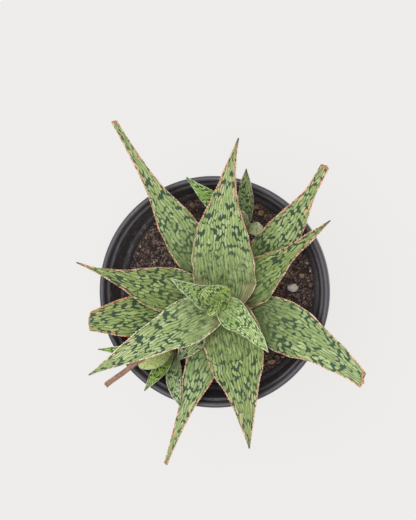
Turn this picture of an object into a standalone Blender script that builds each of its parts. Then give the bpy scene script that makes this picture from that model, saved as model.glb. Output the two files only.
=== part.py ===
"""Potted aloe: a speckled rosette with two young offsets, in a round grower's pot.

The pot stands on the XY plane with its axis on Z, and the crown of the plant
grows a little to one side of that axis. Lengths are in millimetres here and
are turned into metres where a mesh is made. Angles are in degrees, measured
from +X towards +Y.
"""
import math
import random
from collections import namedtuple

import bmesh
import bpy
from mathutils import Matrix, Vector

MM = 0.001
GAP = 0.3
MERGE = 0.01

# Pot
POT_HEIGHT = 92.0
POT_SEGMENTS = 48
RIM_RADIUS = 55.8
RIM_BAND = 12.0
LIP_WIDTH = 2.4
LEDGE_DEPTH = 5.0
LEDGE_RADIUS = 51.8
WALL = 1.4
EASE = 1.0
DRAFT = 0.4
STEP_Z = 71.0
STEP_RADIUS = 47.2
STEP_WIDTH = 2.0
BASE_RADIUS = 39.2
FLOOR_TOP = 2.4
FOOT_RING = 6.0
UNDERSIDE_RECESS = 1.2
CENTRE_PAD_RADIUS = 13.0
DRAIN_COUNT = 8
DRAIN_RADIUS = 4.0
DRAIN_CIRCLE = 24.0
DRAIN_SEGMENTS = 16
DRAIN_DEPTH = 10.0

# Potting mix
SOIL_TOP = 68.0
SOIL_UNEVEN = 0.7
SOIL_WAVE = 9.0
SOIL_RIPPLE = 5.5
SOIL_RINGS = 5

# Stems: (height above the pot's underside, radius) from the growing tip down
CROWN = (3.7, -6.0)
MAIN_STEM = (
    (93.5, 1.2), (92.0, 2.8), (88.0, 4.6), (84.0, 6.8), (76.0, 8.2),
    (66.0, 8.2), (54.0, 6.0), (40.0, 3.0), (36.0, 1.0),
)
OFFSET_STEM = ((79.0, 0.8), (76.0, 1.9), (70.0, 2.6), (62.0, 2.6), (54.0, 1.6), (50.0, 0.6))
OFFSET_A = (-22.6, -30.5)
OFFSET_B = (13.2, 30.5)
STEM_POINT = 1.0
STEM_SEGMENTS = 24
OFFSET_SEGMENTS = 14
ROOT_COUNT = 5
ROOT_RADIUS = 1.1
ROOT_ROOM = 0.6
ROOT_TURN = 20.0
ROOT_REACH = 27.0
ROOT_STEPS = 6
ROOT_BEND = 1.5
ROOT_THINNING = 0.4
ROOT_START_Z = 60.0
ROOT_END_Z = 18.0

# A leaf runs from its stem to its tip, and its base wraps round the stem, as
# far out as its hug. Widths are given at equal steps along it.
Leaf = namedtuple("Leaf", "azimuth reach start tip arch sweep widths thick cup hug", defaults=(20.0,))
LEAF_STATIONS = 10
LEAF_COLUMNS = 9
OFFSET_STATIONS = 8
OFFSET_COLUMNS = 5
STATION_CROWDING = 1.15
MARGIN_THICKNESS = 0.5
TIP_THINNING = 0.7
FULL_BODY_WIDTH = 8.0
NARROW_BODY = 0.35
MIDRIB_STEP = 0.01
SEAT_GAP = 0.42

ROSETTE = {
    "leaf_01": Leaf(118.3, 99, 72.2, 116, 6, 0.0, (9, 20, 17.5, 8.2, 4.3, 2.6), 3.0, 0.10),
    "leaf_02": Leaf(52, 84, 72.2, 112, 4, -3.0, (9, 18, 19, 14, 6, 4.3), 3.0, 0.10),
    "leaf_03": Leaf(-26, 77, 72.2, 106, 5, 4.4, (9, 22, 25, 18, 12.4, 7.0), 3.0, 0.10),
    "leaf_04": Leaf(-108, 79, 72.2, 106, 6, 0.2, (9, 18, 14.5, 7.6, 3.9, 2.0), 3.0, 0.10),
    "leaf_05": Leaf(-173, 62, 72.2, 106, 4, 0.5, (9, 18, 23, 21, 15.5, 9.5), 3.0, 0.10),
    "leaf_06": Leaf(162, 68, 76.8, 118, 5, 1.4, (10, 21, 20.5, 10.8, 3.4, 0.6), 2.8, 0.10),
    "leaf_07": Leaf(37, 68, 75.4, 116, 5, -0.5, (20, 22, 14, 6.4, 4.2, 0.6), 2.2, 0.06, 5.0),
    "leaf_08": Leaf(-76, 68, 80.0, 112, 7, 2.3, (26, 28.5, 24.5, 14.1, 7.3, 0.6), 2.4, 0.06, 5.0),
    "leaf_09": Leaf(-128, 34.5, 74.9, 91, 2, 0.0, (7, 9.5, 11.5, 10.5, 7, 0.6), 1.8, 0.04),
    "leaf_10": Leaf(79, 79.5, 83.0, 142, 6, 3.1, (30, 30, 24, 12.6, 5.4, 0.6), 2.6, 0.02, 4.0),
    "leaf_11": Leaf(-151.3, 62, 85.8, 138, 5, -0.6, (18, 22, 16.8, 12.2, 6.1, 0.6), 2.8, 0.06, 12.0),
    "leaf_12": Leaf(-36, 33, 90.8, 124, 2, 1.6, (13, 15.8, 10.8, 8.0, 5.0, 0.5), 1.8, 0.22, 20.0),
    "leaf_13": Leaf(142, 23.5, 88.6, 126, 2, 0.7, (11, 13.5, 8.8, 6, 3.2, 0.5), 1.6, 0.22, 20.0),
    "leaf_14": Leaf(104, 9.8, 91.6, 105, 1.5, 0.0, (9, 12.5, 14.5, 16, 16, 14.5), 1.0, 0.20, 9.0),
    "leaf_15": Leaf(-138, 7.4, 93.2, 100.6, 0.8, 0.0, (2.6, 4.4, 4.6, 3.8, 2.2, 0.5), 0.9, 0.24, 7.0),
}

OFFSET_A_LEAVES = {
    "offset_a_leaf_1": Leaf(174.2, 31.7, 70.8, 102, 3, 0, (3, 6.5, 6.5, 5, 3, 0.5), 1.8, 0.15),
    "offset_a_leaf_2": Leaf(-69, 24.6, 71.0, 104.5, 3, -1.4, (3, 6.6, 8.0, 6.6, 4, 0.5), 1.5, 0.15),
    "offset_a_leaf_3": Leaf(-120, 19.2, 73.6, 99, 1, 0, (3, 5.8, 7.0, 5.6, 3.0, 0.5), 1.3, 0.2),
    "offset_a_leaf_4": Leaf(-174, 15, 77.6, 96, 2.5, 1, (3, 8, 10.5, 11, 9.5, 5), 1.1, -0.12),
}

OFFSET_B_LEAVES = {
    "offset_b_leaf_1": Leaf(80.2, 28.7, 70.8, 108, 2, 0, (3, 6.2, 7.4, 6.6, 4.3, 0.5), 1.5, 0.15),
    "offset_b_leaf_2": Leaf(134.6, 34.3, 72.8, 104, 3, 0, (3, 6, 9.4, 7.8, 4.0, 0.9), 1.6, 0.15),
    "offset_b_leaf_3": Leaf(-2, 10, 74.6, 88, 2, 0, (3, 5.0, 5.8, 6.6, 6.4, 4.5), 1.1, -0.10),
    "offset_b_leaf_4": Leaf(84, 8.4, 76.8, 94, 1, 0, (2.5, 4.5, 5.5, 5.5, 5, 3), 1.1, 0.25),
}

# Dried flower stalk: points of its line, from the crown outwards
STALK_LINE = ((-5.2, -8.7, 81.2), (-13.3, -13.4, 87.6), (-29.3, -28.5, 95.0), (-51.3, -45.0, 100.0))
STALK_RADIUS = 1.0

# Loose lumps on the mix: (x, y, length, width, height)
LUMP_SEAT = 0.45
LUMP_ROUGHNESS = 0.08
LUMPS = {
    "perlite_lump": (36.4, 1.2, 6.2, 4.2, 3.6),
    "bark_chip_1": (25.7, -35.4, 4.4, 3.0, 2.4),
    "bark_chip_2": (20.5, 38.0, 3.4, 3.0, 2.2),
    "bark_chip_3": (40.7, 7.0, 3.0, 2.6, 2.0),
}


def clear_scene():
    for item in list(bpy.data.objects):
        bpy.data.objects.remove(item)


def new_collection(name):
    group = bpy.data.collections.new(name)
    bpy.context.scene.collection.children.link(group)
    return group


def material(name, colour, roughness):
    finish = bpy.data.materials.new(name)
    finish.use_nodes = True
    shader = finish.node_tree.nodes["Principled BSDF"]
    shader.inputs["Base Color"].default_value = (*colour, 1.0)
    shader.inputs["Roughness"].default_value = roughness
    finish.diffuse_color = (*colour, 1.0)
    return finish


def object_from(name, mesh, group, finish=None):
    item = bpy.data.objects.new(name, mesh)
    group.objects.link(item)
    if finish:
        mesh.materials.append(finish)
    return item


def mesh_from(name, points, faces):
    """A mesh in metres from points in millimetres."""
    mesh = bpy.data.meshes.new(name)
    mesh.from_pydata([Vector(p) * MM for p in points], [], faces)
    mesh.validate()
    return mesh


def smooth(mesh, angle=40.0):
    mesh.shade_smooth()
    mesh.set_sharp_from_angle(angle=math.radians(angle))


def hide_as_cutter(item):
    item.hide_render = True
    item.display_type = "WIRE"


def turned(name, profile, centre, segments, group, finish=None):
    """Turns a profile of (radius, height) about a vertical axis through centre."""
    points = [(radius, 0.0, height) for radius, height in profile]
    edges = [(i, i + 1) for i in range(len(points) - 1)]
    mesh = bpy.data.meshes.new(name)
    mesh.from_pydata([Vector(p) * MM for p in points], edges, [])
    item = object_from(name, mesh, group, finish)
    item.location = Vector((*centre, 0.0)) * MM
    screw = item.modifiers.new("turn", "SCREW")
    screw.steps = segments
    screw.render_steps = segments
    screw.use_merge_vertices = True
    screw.merge_threshold = MERGE * MM
    return item


def baked(item, group, finish=None):
    """Replaces an object by a plain mesh of its evaluated shape, in world space."""
    name = item.name
    bpy.context.view_layer.update()
    graph = bpy.context.evaluated_depsgraph_get()
    mesh = bpy.data.meshes.new_from_object(item.evaluated_get(graph))
    mesh.transform(item.matrix_world)
    bpy.data.objects.remove(item)
    solid = bmesh.new()
    solid.from_mesh(mesh)
    bmesh.ops.remove_doubles(solid, verts=solid.verts, dist=MERGE * MM)
    bmesh.ops.recalc_face_normals(solid, faces=solid.faces)
    solid.to_mesh(mesh)
    solid.free()
    mesh.materials.clear()
    return object_from(name, mesh, group, finish)


def boolean(item, other, operation):
    change = item.modifiers.new(operation.lower(), "BOOLEAN")
    change.operation = operation
    change.solver = "EXACT"
    change.object = other


def wall_inside(height):
    """Radius of the pot's inner wall at a height below its step."""
    foot_z = FLOOR_TOP + EASE
    share = (height - foot_z) / (STEP_Z - foot_z)
    foot = BASE_RADIUS - WALL
    return foot + (STEP_RADIUS - foot) * share


def pot_profile():
    """The pot's section: up the inside from the floor, over the lip, down the outside."""
    top, band_z, ledge_z = POT_HEIGHT, POT_HEIGHT - RIM_BAND, POT_HEIGHT - LEDGE_DEPTH
    foot = wall_inside(FLOOR_TOP + EASE)
    lip = RIM_RADIUS - LIP_WIDTH
    shoulder = STEP_RADIUS + STEP_WIDTH
    recess = BASE_RADIUS - FOOT_RING
    inside = (
        (0.0, FLOOR_TOP), (foot - EASE, FLOOR_TOP), (foot, FLOOR_TOP + EASE), (STEP_RADIUS, STEP_Z),
        (shoulder, STEP_Z + EASE), (LEDGE_RADIUS - DRAFT, ledge_z), (lip - DRAFT, ledge_z + DRAFT),
    )
    over = ((lip, top - EASE), (lip + EASE, top), (RIM_RADIUS - EASE, top), (RIM_RADIUS, top - EASE))
    outside = (
        (RIM_RADIUS - DRAFT, band_z + EASE), (RIM_RADIUS - EASE, band_z), (LEDGE_RADIUS, band_z),
        (shoulder + WALL, STEP_Z + EASE), (STEP_RADIUS + WALL, STEP_Z - EASE),
        (BASE_RADIUS, EASE), (BASE_RADIUS - EASE, 0.0),
    )
    underside = (
        (recess, 0.0), (recess - DRAFT, UNDERSIDE_RECESS),
        (CENTRE_PAD_RADIUS + DRAFT, UNDERSIDE_RECESS), (CENTRE_PAD_RADIUS, 0.0), (0.0, 0.0),
    )
    return inside + over + outside + underside


def drain_cutter(group):
    """Eight round plugs that cut the drainage holes through the floor."""
    cut = bmesh.new()
    for index in range(DRAIN_COUNT):
        angle = 2 * math.pi * (index + 0.5) / DRAIN_COUNT
        place = Matrix.Translation(Vector((math.cos(angle), math.sin(angle), 0.0)) * DRAIN_CIRCLE * MM)
        bmesh.ops.create_cone(cut, cap_ends=True, segments=DRAIN_SEGMENTS, radius1=DRAIN_RADIUS * MM,
                              radius2=DRAIN_RADIUS * MM, depth=DRAIN_DEPTH * MM, matrix=place)
    mesh = bpy.data.meshes.new("drain_holes")
    cut.to_mesh(mesh)
    cut.free()
    item = object_from("drain_holes", mesh, group)
    hide_as_cutter(item)
    return item


def make_pot(parts, cutters):
    finish = material("black_pot_plastic", (0.035, 0.031, 0.035), 0.42)
    pot = turned("pot", pot_profile(), (0.0, 0.0), POT_SEGMENTS, parts, finish)
    boolean(pot, drain_cutter(cutters), "DIFFERENCE")
    smooth(pot.data, 30.0)
    return pot


def soil_height(x, y):
    """Height of the uneven top of the mix at a place, in millimetres."""
    broad = math.sin(x / SOIL_WAVE) * math.cos(y / SOIL_WAVE)
    fine = math.sin((x - y) / SOIL_RIPPLE)
    return SOIL_TOP + SOIL_UNEVEN * (broad + 0.5 * fine)


def make_soil(parts):
    """A plug of mix that fills the pot up to a level well below the lip."""
    finish = material("dark_potting_mix", (0.045, 0.027, 0.018), 0.95)
    top_radius = wall_inside(SOIL_TOP) - GAP
    foot_z = FLOOR_TOP + GAP
    foot = wall_inside(FLOOR_TOP + EASE) - GAP
    rings = [(top_radius * i / SOIL_RINGS, SOIL_TOP) for i in range(SOIL_RINGS + 1)]
    side = [(foot, foot_z + EASE), (foot - EASE, foot_z), (0.0, foot_z)]
    soil = baked(turned("potting_mix", rings + side, (0.0, 0.0), POT_SEGMENTS, parts), parts, finish)
    for vertex in soil.data.vertices:
        if vertex.co.z > (SOIL_TOP - GAP) * MM:
            vertex.co.z = soil_height(vertex.co.x / MM, vertex.co.y / MM) * MM
    return soil


def stem_profile(outline, swell=0.0):
    """A stem's turned outline, closed on its axis by a blunt point at both ends, grown by swell."""
    top, bottom = outline[0][0], outline[-1][0]
    body = [(radius + swell, height) for height, radius in outline]
    return [(0.0, top + STEM_POINT + swell)] + body + [(0.0, bottom - STEM_POINT - swell)]


def radius_at(outline, height):
    """A stem's radius at a height, straight between the points of its outline."""
    for (z_high, r_high), (z_low, r_low) in zip(outline, outline[1:]):
        if z_low <= height <= z_high:
            share = (height - z_low) / (z_high - z_low)
            return r_low + share * (r_high - r_low)
    return outline[0][1]


def root_tube(name, index, centre, extra, group):
    """One root: a thin tube that leaves the stem below the mix and bends down, grown by extra."""
    angle = math.radians(ROOT_TURN + 360.0 * index / ROOT_COUNT)
    out = Vector((math.cos(angle), math.sin(angle), 0.0))
    curve = bpy.data.curves.new(name, "CURVE")
    curve.dimensions = "3D"
    curve.bevel_depth = (ROOT_RADIUS + extra) * MM
    curve.bevel_resolution = 1
    curve.use_fill_caps = True
    line = curve.splines.new("POLY")
    line.points.add(ROOT_STEPS)
    for step in range(ROOT_STEPS + 1):
        share = step / ROOT_STEPS
        height = ROOT_START_Z + (ROOT_END_Z - ROOT_START_Z) * share ** ROOT_BEND
        place = Vector((*centre, height)) + out * ROOT_REACH * math.sin(share * math.pi / 2)
        if step == ROOT_STEPS:
            place.z -= extra
        line.points[step].co = (*(place * MM), 1.0)
        line.points[step].radius = 1.0 - ROOT_THINNING * share
    return object_from(name, curve, group)


def make_rooted_stem(name, outline, centre, segments, roots, finish, parts, cutters):
    """A stem, and the slightly larger body that makes room for it in the mix."""
    stem = baked(turned(name, stem_profile(outline), centre, segments, parts), parts, finish)
    room = baked(turned(name + "_room", stem_profile(outline, GAP), centre, segments, cutters), cutters)
    for index in range(roots):
        for body, extra in ((stem, 0.0), (room, ROOT_ROOM)):
            root = baked(root_tube(f"{body.name}_root_{index}", index, centre, extra, cutters), cutters)
            hide_as_cutter(root)
            boolean(body, root, "UNION")
    hide_as_cutter(room)
    smooth(stem.data)
    return room


def width_at(widths, share):
    """Full width at a share of the leaf's length, on a smooth line through its widths."""
    last = len(widths) - 1
    place = min(max(share, 0.0), 1.0) * last
    index = min(int(place), last - 1)
    part = place - index
    before = widths[max(index - 1, 0)]
    start, end = widths[index], widths[index + 1]
    after = widths[min(index + 2, last)]
    slope_in, slope_out = (end - before) / 2, (after - start) / 2
    square, cube = part * part, part ** 3
    return ((2 * cube - 3 * square + 1) * start + (cube - 2 * square + part) * slope_in
            + (3 * square - 2 * cube) * end + (cube - square) * slope_out)


def midrib(leaf, centre, inner, share):
    """A point of the leaf's midrib, in millimetres."""
    angle = math.radians(leaf.azimuth)
    along = Vector((math.cos(angle), math.sin(angle), 0.0))
    across = Vector((-along.y, along.x, 0.0))
    bow = 4 * share * (1 - share)
    height = leaf.start + (leaf.tip - leaf.start) * share + leaf.arch * bow
    return (Vector((*centre, height)) + along * (inner + (leaf.reach - inner) * share)
            + across * leaf.sweep * bow)


def leaf_section(leaf, centre, inner, share, columns):
    """One cross-section: points over the channelled top, then over the rounded underside."""
    here = midrib(leaf, centre, inner, share)
    before, after = (midrib(leaf, centre, inner, share + step) for step in (-MIDRIB_STEP, MIDRIB_STEP))
    ahead = after - before
    ahead.normalize()
    side = Vector((0.0, 0.0, 1.0)).cross(ahead).normalized()
    over = ahead.cross(side)
    half = width_at(leaf.widths, share) / 2
    body = min(1.0, NARROW_BODY + (1 - NARROW_BODY) * 2 * half / FULL_BODY_WIDTH)
    belly = leaf.thick * (1 - TIP_THINNING * share) * body
    arm = Vector((here.x - centre[0], here.y - centre[1], 0.0))
    wrap = max(0.0, 1 - (arm.length - inner) / leaf.hug) ** 2
    top, under = [], []
    for column in range(columns):
        u = 1 - 2 * column / (columns - 1)
        flat = side * half * u + over * leaf.cup * half * (u * u)
        turn = Matrix.Rotation(half * u / arm.length, 3, "Z")
        edge = here + flat.lerp(turn @ arm - arm, wrap)
        drop = over.lerp(turn @ over, wrap)
        depth = MARGIN_THICKNESS + (belly - MARGIN_THICKNESS) * math.sqrt(1 - u * u)
        top.append(edge)
        under.append(edge - drop * depth)
    return top, under


def seat_on_stem(points, outline, centre):
    """Draws a leaf's first section in, so that it lies round the stem with the usual gap."""
    seated = []
    for point in points:
        flat = Vector((point.x - centre[0], point.y - centre[1]))
        flat *= (radius_at(outline, point.z) + SEAT_GAP) / flat.length
        seated.append(Vector((centre[0] + flat.x, centre[1] + flat.y, point.z)))
    return seated


def make_leaf(name, leaf, outline, centre, grid, finish, parts):
    """A leaf: a closed loft of sections from the stem to the tip."""
    stations, columns = grid
    inner = radius_at(outline, leaf.start)
    ring = 2 * columns
    points, faces = [], []
    for station in range(stations):
        share = (station / (stations - 1)) ** STATION_CROWDING
        top, under = leaf_section(leaf, centre, inner, share, columns)
        if station == 0:
            top, under = seat_on_stem(top, outline, centre), seat_on_stem(under, outline, centre)
        points.extend(top + under[::-1])
    for start in range(0, (stations - 1) * ring, ring):
        for index in range(ring):
            after = (index + 1) % ring
            faces.append((start + index, start + after, start + after + ring, start + index + ring))
    last = (stations - 1) * ring
    for near in range(columns - 1):
        far = ring - 1 - near
        faces.append((near, far, far - 1, near + 1))
        faces.append((last + near + 1, last + far - 1, last + far, last + near))
    mesh = mesh_from(name, points, faces)
    solid = bmesh.new()
    solid.from_mesh(mesh)
    bmesh.ops.recalc_face_normals(solid, faces=solid.faces)
    solid.to_mesh(mesh)
    solid.free()
    smooth(mesh)
    return object_from(name, mesh, parts, finish)


def make_stalk(parts):
    """The dried flower stalk that leans out below the upper leaves."""
    finish = material("dry_stalk", (0.36, 0.19, 0.13), 0.8)
    curve = bpy.data.curves.new("flower_stalk", "CURVE")
    curve.dimensions = "3D"
    curve.bevel_depth = STALK_RADIUS * MM
    curve.bevel_resolution = 1
    curve.use_fill_caps = True
    line = curve.splines.new("POLY")
    line.points.add(len(STALK_LINE) - 1)
    for point, place in zip(line.points, STALK_LINE):
        point.co = (*(Vector(place) * MM), 1.0)
    return baked(object_from("flower_stalk", curve, parts), parts, finish)


def make_lump(name, place, finish, parts):
    """A rough lump that rests on the mix."""
    x, y, length, width, height = place
    rough = random.Random(name)
    stone = bmesh.new()
    bmesh.ops.create_icosphere(stone, subdivisions=2, radius=0.5)
    for vertex in stone.verts:
        swell = 1 + rough.uniform(-LUMP_ROUGHNESS, LUMP_ROUGHNESS)
        vertex.co = Vector((vertex.co.x * length, vertex.co.y * width, vertex.co.z * height)) * swell
    floor = max(soil_height(x + v.co.x, y + v.co.y) - v.co.z for v in stone.verts if v.co.z < 0)
    lift = Vector((x, y, floor + LUMP_SEAT))
    for vertex in stone.verts:
        vertex.co = (vertex.co + lift) * MM
    mesh = bpy.data.meshes.new(name)
    stone.to_mesh(mesh)
    stone.free()
    return object_from(name, mesh, parts, finish)


def main():
    clear_scene()
    parts = new_collection("potted_aloe")
    cutters = new_collection("cutters")
    make_pot(parts, cutters)
    soil = make_soil(parts)
    skin = material("stem_skin", (0.30, 0.36, 0.17), 0.7)
    green = material("leaf_green", (0.22, 0.36, 0.14), 0.45)
    young = material("young_leaf_green", (0.29, 0.45, 0.13), 0.45)
    large, small = (LEAF_STATIONS, LEAF_COLUMNS), (OFFSET_STATIONS, OFFSET_COLUMNS)
    plants = (
        ("main_stem", MAIN_STEM, CROWN, STEM_SEGMENTS, ROOT_COUNT, ROSETTE, large, green),
        ("offset_a_stem", OFFSET_STEM, OFFSET_A, OFFSET_SEGMENTS, 0, OFFSET_A_LEAVES, small, young),
        ("offset_b_stem", OFFSET_STEM, OFFSET_B, OFFSET_SEGMENTS, 0, OFFSET_B_LEAVES, small, young),
    )
    for name, outline, centre, segments, roots, leaves, grid, finish in plants:
        room = make_rooted_stem(name, outline, centre, segments, roots, skin, parts, cutters)
        boolean(soil, room, "DIFFERENCE")
        for leaf_name, leaf in leaves.items():
            make_leaf(leaf_name, leaf, outline, centre, grid, finish, parts)
    make_stalk(parts)
    perlite = material("white_perlite", (0.75, 0.73, 0.68), 0.9)
    chip = material("tan_bark", (0.48, 0.31, 0.18), 0.85)
    for name, place in LUMPS.items():
        make_lump(name, place, perlite if name.startswith("perlite") else chip, parts)


main()
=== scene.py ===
"""Looks of the potted aloe: speckled toothed leaves, a dull black pot and a gritty potting mix.

Lengths are in millimetres in the tables and are turned into metres where a mesh is made.
"""

import math
import random
from collections import namedtuple

import bmesh
import bpy
import numpy as np
from mathutils import Matrix, Vector, noise


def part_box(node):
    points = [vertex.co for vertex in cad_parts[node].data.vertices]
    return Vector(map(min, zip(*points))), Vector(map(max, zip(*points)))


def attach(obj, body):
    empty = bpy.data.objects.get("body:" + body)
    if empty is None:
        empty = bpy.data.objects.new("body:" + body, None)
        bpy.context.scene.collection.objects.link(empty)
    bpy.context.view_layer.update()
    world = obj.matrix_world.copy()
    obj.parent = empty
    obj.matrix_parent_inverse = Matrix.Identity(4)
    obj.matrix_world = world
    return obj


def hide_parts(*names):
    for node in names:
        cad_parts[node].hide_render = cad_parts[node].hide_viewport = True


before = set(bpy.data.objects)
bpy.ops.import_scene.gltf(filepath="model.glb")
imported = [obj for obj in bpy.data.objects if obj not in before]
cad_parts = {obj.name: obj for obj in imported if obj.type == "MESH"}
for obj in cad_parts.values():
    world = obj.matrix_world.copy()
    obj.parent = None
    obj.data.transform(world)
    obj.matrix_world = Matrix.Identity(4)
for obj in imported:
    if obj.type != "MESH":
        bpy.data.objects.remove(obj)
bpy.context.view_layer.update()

MM = 0.001
UP = (0.0, 0.0, 1.0)
# About a full turn in radians, out of which waves and loose bits draw their own start
TURN = 6.28

# Leaves: the same lines as the solids'. A leaf runs from its stem to its tip, with its widths
# at equal steps.
Leaf = namedtuple("Leaf", "azimuth reach start tip arch sweep widths thick cup hug", defaults=(20.0,))
MIDRIB_STEP = 0.01
TIP_THINNING = 0.7
FULL_BODY_WIDTH = 8.0
NARROW_BODY = 0.35
CROWN = (3.7, -6.0)
MAIN_STEM = (
    (93.5, 1.2), (92, 2.8), (88, 4.6), (84, 6.8), (76, 8.2),
    (66, 8.2), (54, 6), (40, 3), (36, 1),
)
OFFSET_STEM = ((79, 0.8), (76, 1.9), (70, 2.6), (62, 2.6), (54, 1.6), (50, 0.6))
OFFSET_A = (-22.6, -30.5)
OFFSET_B = (13.2, 30.5)

ROSETTE = {
    "leaf_01": Leaf(118.3, 99, 72.2, 116, 6, 0, (9, 20, 17.5, 8.2, 4.3, 2.6), 3, 0.1),
    "leaf_02": Leaf(52, 84, 72.2, 112, 4, -3, (9, 18, 19, 14, 6, 4.3), 3, 0.1),
    "leaf_03": Leaf(-26, 77, 72.2, 106, 5, 4.4, (9, 22, 25, 18, 12.4, 7), 3, 0.1),
    "leaf_04": Leaf(-108, 79, 72.2, 106, 6, 0.2, (9, 18, 14.5, 7.6, 3.9, 2), 3, 0.1),
    "leaf_05": Leaf(-173, 62, 72.2, 106, 4, 0.5, (9, 18, 23, 21, 15.5, 9.5), 3, 0.1),
    "leaf_06": Leaf(162, 68, 76.8, 118, 5, 1.4, (10, 21, 20.5, 10.8, 3.4, 0.6), 2.8, 0.1),
    "leaf_07": Leaf(37, 68, 75.4, 116, 5, -0.5, (20, 22, 14, 6.4, 4.2, 0.6), 2.2, 0.06, 5),
    "leaf_08": Leaf(-76, 68, 80, 112, 7, 2.3, (26, 28.5, 24.5, 14.1, 7.3, 0.6), 2.4, 0.06, 5),
    "leaf_09": Leaf(-128, 34.5, 74.9, 91, 2, 0, (7, 9.5, 11.5, 10.5, 7, 0.6), 1.8, 0.04),
    "leaf_10": Leaf(79, 79.5, 83, 142, 6, 3.1, (30, 30, 24, 12.6, 5.4, 0.6), 2.6, 0.02, 4),
    "leaf_11": Leaf(-151.3, 62, 85.8, 138, 5, -0.6, (18, 22, 16.8, 12.2, 6.1, 0.6), 2.8, 0.06, 12),
    "leaf_12": Leaf(-36, 33, 90.8, 124, 2, 1.6, (13, 15.8, 10.8, 8, 5, 0.5), 1.8, 0.22, 20),
    "leaf_13": Leaf(142, 23.5, 88.6, 126, 2, 0.7, (11, 13.5, 8.8, 6, 3.2, 0.5), 1.6, 0.22, 20),
    "leaf_14": Leaf(104, 9.8, 91.6, 105, 1.5, 0, (9, 12.5, 14.5, 16, 16, 14.5), 1, 0.2, 9),
    "leaf_15": Leaf(-138, 7.4, 93.2, 100.6, 0.8, 0, (2.6, 4.4, 4.6, 3.8, 2.2, 0.5), 0.9, 0.24, 7),
}
OFFSET_A_LEAVES = {
    "offset_a_leaf_1": Leaf(174.2, 31.7, 70.8, 102, 3, 0, (3, 6.5, 6.5, 5, 3, 0.5), 1.8, 0.15),
    "offset_a_leaf_2": Leaf(-69, 24.6, 71, 104.5, 3, -1.4, (3, 6.6, 8, 6.6, 4, 0.5), 1.5, 0.15),
    "offset_a_leaf_3": Leaf(-120, 19.2, 73.6, 99, 1, 0, (3, 5.8, 7, 5.6, 3, 0.5), 1.3, 0.2),
    "offset_a_leaf_4": Leaf(-174, 15, 77.6, 96, 2.5, 1, (3, 8, 10.5, 11, 9.5, 5), 1.1, -0.12),
}
OFFSET_B_LEAVES = {
    "offset_b_leaf_1": Leaf(80.2, 28.7, 70.8, 108, 2, 0, (3, 6.2, 7.4, 6.6, 4.3, 0.5), 1.5, 0.15),
    "offset_b_leaf_2": Leaf(134.6, 34.3, 72.8, 104, 3, 0, (3, 6, 9.4, 7.8, 4, 0.9), 1.6, 0.15),
    "offset_b_leaf_3": Leaf(-2, 10, 74.6, 88, 2, 0, (3, 5, 5.8, 6.6, 6.4, 4.5), 1.1, -0.1),
    "offset_b_leaf_4": Leaf(84, 8.4, 76.8, 94, 1, 0, (2.5, 4.5, 5.5, 5.5, 5, 3), 1.1, 0.25),
}
HEART_LEAVES = ("leaf_12", "leaf_13", "leaf_14", "leaf_15")

# How each leaf ends: slant of the cut, raggedness, depth of the brown scar, how far the
# corners fall back, and the size of teeth on the end, all in mm
End = namedtuple("End", "slant ragged scar round teeth", defaults=(0,) * 5)
ENDS = {
    "leaf_01": End(0.3, 0.25, 1.4),
    "leaf_02": End(0, 0.3, 1.7, 0.7),
    "leaf_03": End(-1.6, 0.9, 1.8),
    "leaf_04": End(0.2, 0.2, 1.2),
    "leaf_05": End(0.6, 0.25, 0.8, 0.8),
    "leaf_14": End(0, 0.2, 0, 1.8, 0.8),
    "offset_a_leaf_4": End(0, 0.1, 0, 2, 0.8),
    "offset_b_leaf_3": End(0.2, 0.2, 0, 1, 0.5),
    "offset_b_leaf_4": End(0, 0.1, 0, 0.8, 0.4),
}
# The last stretch of a leaf that its end's shape bends, and that shape's own waves: size and
# waves across
END_ZONE = 5.0
END_RAGS = ((0.6, 5), (0.4, 13))
CORNER_POWER = 4

# Which palette each leaf has
LOOKS = {
    "leaf_01": "outer", "leaf_02": "outer", "leaf_03": "clean", "leaf_04": "outer",
    "leaf_05": "orange_margin", "leaf_06": "shaded", "leaf_07": "shaded", "leaf_08": "shaded",
    "leaf_09": "cream_margin", "leaf_10": "tall", "leaf_11": "cream_margin",
    "leaf_12": "heart", "leaf_13": "heart", "leaf_14": "hood", "leaf_15": "hood",
    "offset_a_leaf_1": "fresh", "offset_a_leaf_2": "frosted", "offset_a_leaf_3": "vivid",
    "offset_a_leaf_4": "lemon_painted_lit", "offset_b_leaf_1": "grey", "offset_b_leaf_2": "fresh",
    "offset_b_leaf_3": "pale", "offset_b_leaf_4": "pale",
}

# Stations along a leaf and columns across it
STATION_PITCH = 0.27
YOUNG_STATION_PITCH = 0.2
FEWEST_STATIONS = 30
TOP_COLUMNS = 25
UNDER_COLUMNS = 13
HOOD_COLUMNS = 73
MARGIN_COLUMN = 0.9999

EDGE_THICKNESS = 0.22
LEAST_BELLY = 1.5 * EDGE_THICKNESS
LEAST_HALF_WIDTH = 0.2
FOOT_DEPTH = 0.3
CREASE = 62.0

# Margin teeth; young leaves have theirs smaller and closer
TOOTH_PITCH = 1.55
TOOTH_SIZE = 0.34
YOUNG_TOOTH_PITCH = 0.62 * TOOTH_PITCH
YOUNG_TOOTH_SIZE = 0.7 * TOOTH_SIZE
END_TOOTH_PITCH = 0.95
# A tooth's share of the pitch and of the size, and its foot, point and other foot within its pitch
TOOTH_SPACING = (0.65, 1.35)
TOOTH_HEIGHTS = (0.45, 1.0)
TOOTH_SHAPE = (0.2, 0.6, 0.74)
# Shares of a leaf where its teeth begin, and before a point or a broad end where they fade out
TEETH_START = (0.02, 0.1)
BARE_POINT = 0.07
BARE_END = 0.03
BROAD_END = 1.5

# Slow waves of the margins: share of the width, and length
MARGIN_WAVES = ((0.014, 2.9), (0.010, 1.7))
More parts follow.
